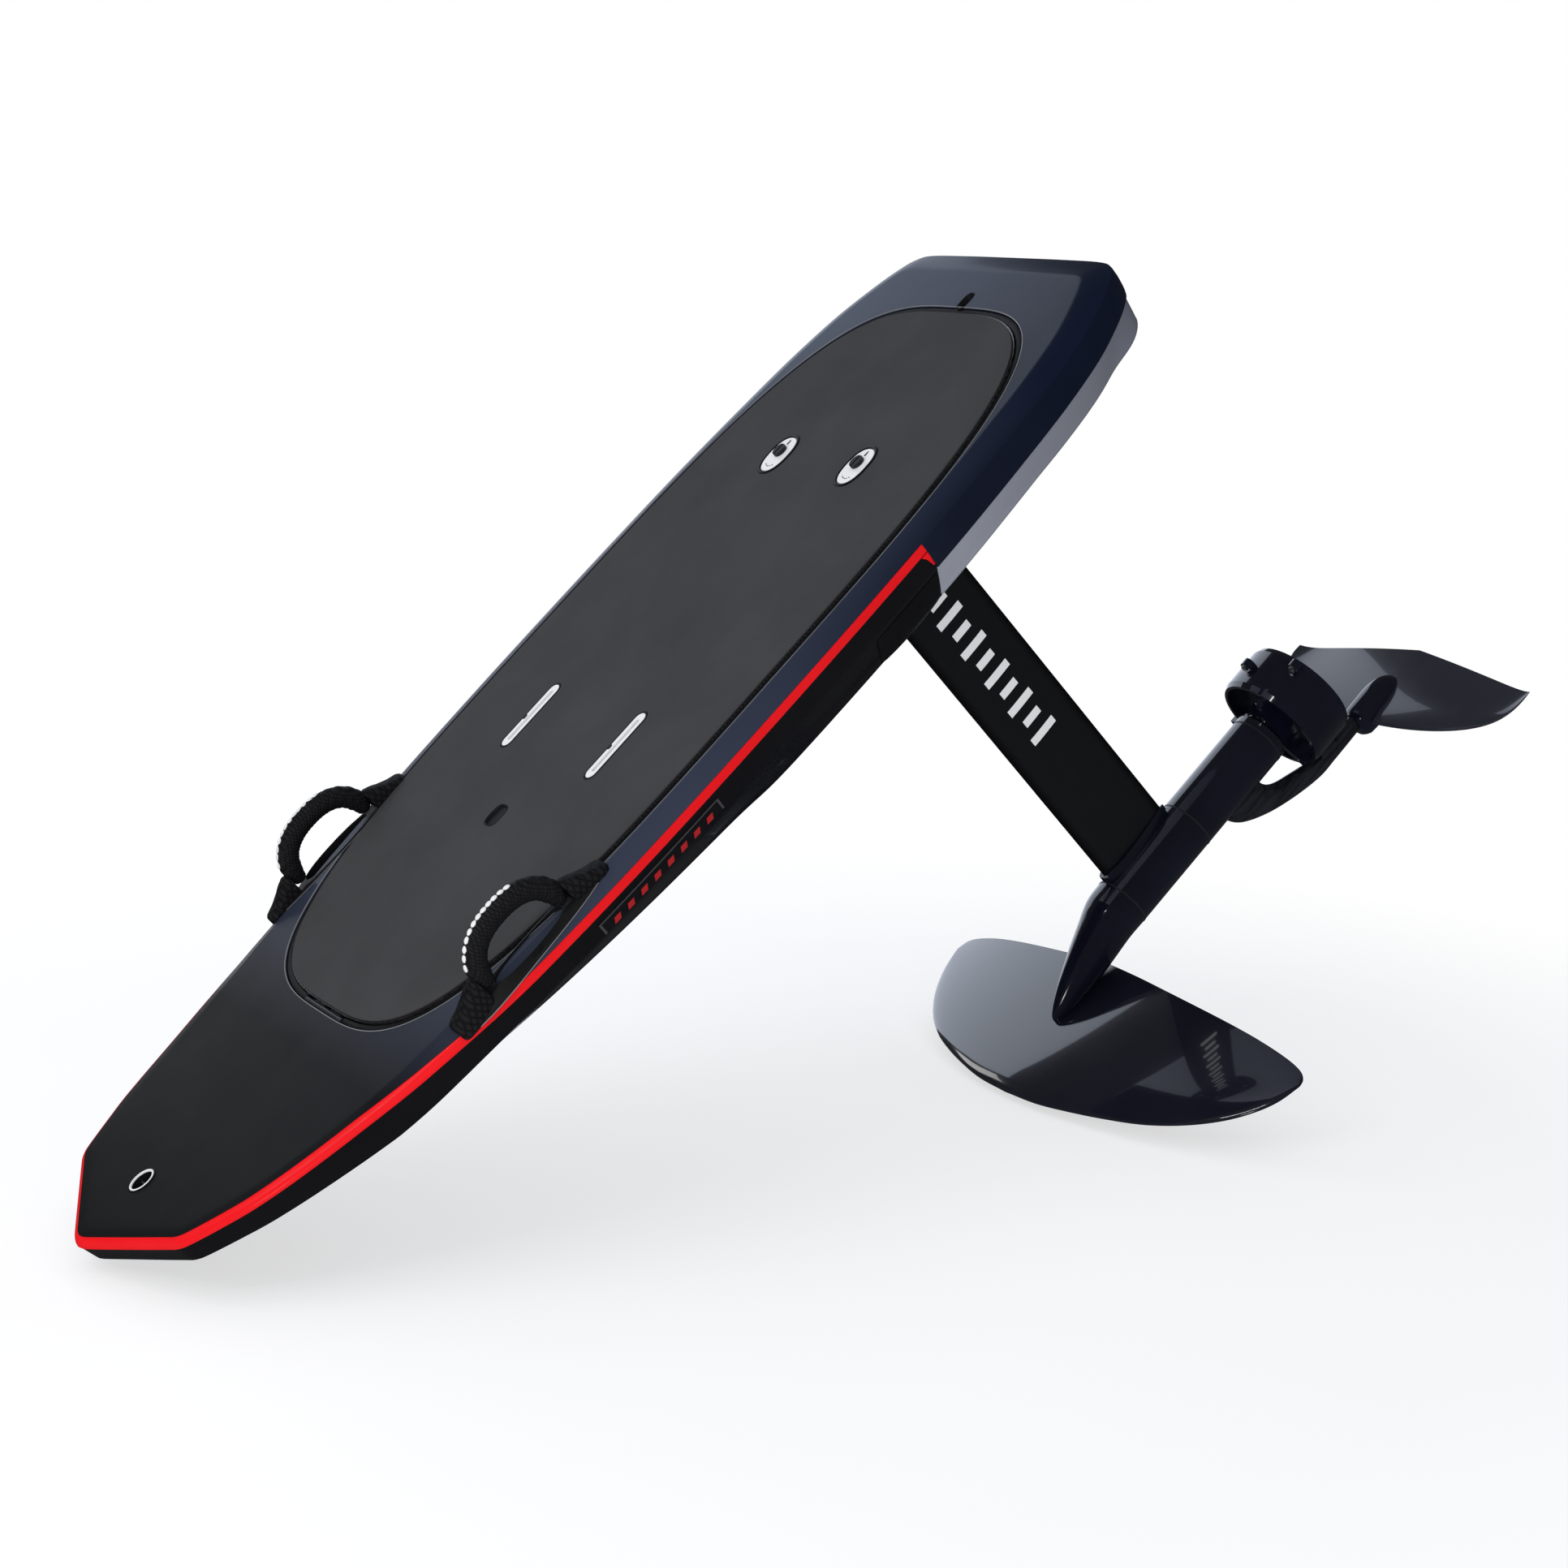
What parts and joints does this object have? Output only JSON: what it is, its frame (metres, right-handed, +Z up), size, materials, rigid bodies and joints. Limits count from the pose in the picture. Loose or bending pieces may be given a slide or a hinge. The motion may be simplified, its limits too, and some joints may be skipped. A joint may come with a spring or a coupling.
{
  "type": "electric hydrofoil board",
  "caption": "Long board with a hinged, latched hatch over its battery bay, folding side handles, and a mast carrying a ducted motor pod, front wing and stabiliser.",
  "frame": {"origin": "under the middle of the whole object's length, level with its lowest point under the stabiliser mount", "axes": "+X towards the nose, +Y to port, +Z up from the foil to the deck"},
  "size_m": [1.897, 0.83, 1.0265],
  "materials": {
    "deck_paint": "gloss navy coat over carbon laminate",
    "hull_paint": "gloss black coat",
    "tail_silver": "metallic silver coat",
    "core_foam": "light expanded foam",
    "stripe_red": "gloss red",
    "label_black": "gloss black with a thin outline",
    "moulded_black": "moulded black",
    "tub_black": "matte black",
    "seal_rubber": "matte rubber",
    "steel": "brushed stainless",
    "dark_alloy": "dark anodised",
    "light_alloy": "milled",
    "white_plastic": "gloss white",
    "battery_case": "sealed case",
    "plug_orange": "connector body",
    "lead_red": "sheathed lead",
    "lid_carbon": "carbon laminate",
    "pad_foam": "grooved foam rubber",
    "mast_alloy": "matte black anodised",
    "foil_carbon": "gloss black carbon",
    "stab_carbon": "gloss dark grey carbon",
    "pod_alloy": "gloss black anodised",
    "copper_windings": "windings and laminations",
    "bearing_steel": "ground steel",
    "grip_sleeve": "wrapped sleeve"
  },
  "bodies": {
    "board": {"deck_shell": "deck_paint", "hull_shell": "hull_paint", "tail_pan": "tail_silver", "foam_core": "core_foam", "rail_stripe": "stripe_red", "label_panels": "label_black", "chine_guards": "moulded_black", "bay_tub": "tub_black", "lid_seal": "seal_rubber", "hinge_base": "dark_alloy", "hinge_pin": "steel", "leash_cup": "moulded_black", "leash_rim": "white_plastic", "leash_bar": "steel", "handle_boots": "seal_rubber", "anchors_port": "moulded_black", "anchors_starboard": "moulded_black", "anchor_screws": "steel", "battery_pack": "battery_case", "battery_grips": "moulded_black", "battery_plug": "plug_orange", "controller_box": "light_alloy", "cooling_plate": "light_alloy", "power_leads": "lead_red", "mast_box": "light_alloy", "mast_collar": "moulded_black", "mast_top_plate": "mast_alloy", "mast_bolts": "steel", "mast": "mast_alloy", "mast_cable": "seal_rubber", "mast_saddle": "mast_alloy", "pod_shell": "pod_alloy", "fuselage_nose": "foil_carbon", "motor_stator": "copper_windings", "shaft_bearings": "bearing_steel", "shaft_seal": "seal_rubber", "pod_tail_cap": "pod_alloy", "duct_ring": "foil_carbon", "duct_vanes": "moulded_black", "duct_bolts": "steel", "duct_bracket": "moulded_black", "tail_boom": "foil_carbon", "stab_mount": "foil_carbon", "stabiliser": "stab_carbon", "stab_screws": "steel", "front_wing": "foil_carbon", "wing_screws": "steel"},
    "lid": {"lid_panel": "lid_carbon", "deck_pad": "pad_foam", "hinge_leaf": "dark_alloy", "latch_plates": "white_plastic", "latch_bezels": "moulded_black", "strap_tracks": "white_plastic"},
    "latch_knob_port": {"latch_port": "moulded_black"},
    "latch_knob_starboard": {"latch_starboard": "moulded_black"},
    "grip_port": {"handle_port": "grip_sleeve"},
    "grip_starboard": {"handle_starboard": "grip_sleeve"},
    "rotor": {"motor_rotor": "bearing_steel", "motor_shaft": "steel", "propeller": "foil_carbon"}
  },
  "joints": [
    {"name": "hatch_hinge", "type": "hinge", "parent": "board", "child": "lid", "pos_m": [0.5445, 0, 0.9535], "axis": [0, 1, 0], "range_deg": [0, 75]},
    {"name": "latch_port_turn", "type": "hinge", "parent": "lid", "child": "latch_knob_port", "pos_m": [-0.4095, 0.1, 0.958], "axis": [0, 0, -1], "range_deg": [0, 90]},
    {"name": "latch_starboard_turn", "type": "hinge", "parent": "lid", "child": "latch_knob_starboard", "pos_m": [-0.4095, -0.1, 0.958], "axis": [0, 0, 1], "range_deg": [0, 90]},
    {"name": "grip_port_fold", "type": "hinge", "parent": "board", "child": "grip_port", "pos_m": [0.3535, 0.305, 0.971], "axis": [-1, 0, 0], "range_deg": [0, 60], "stiffness_Nm_per_rad": 0.3},
    {"name": "grip_starboard_fold", "type": "hinge", "parent": "board", "child": "grip_starboard", "pos_m": [0.3535, -0.305, 0.971], "axis": [1, 0, 0], "range_deg": [0, 60], "stiffness_Nm_per_rad": 0.3},
    {"name": "propeller_spin", "type": "hinge", "parent": "board", "child": "rotor", "pos_m": [-0.7225, 0, 0.144], "axis": [1, 0, 0], "continuous": true}
  ]
}
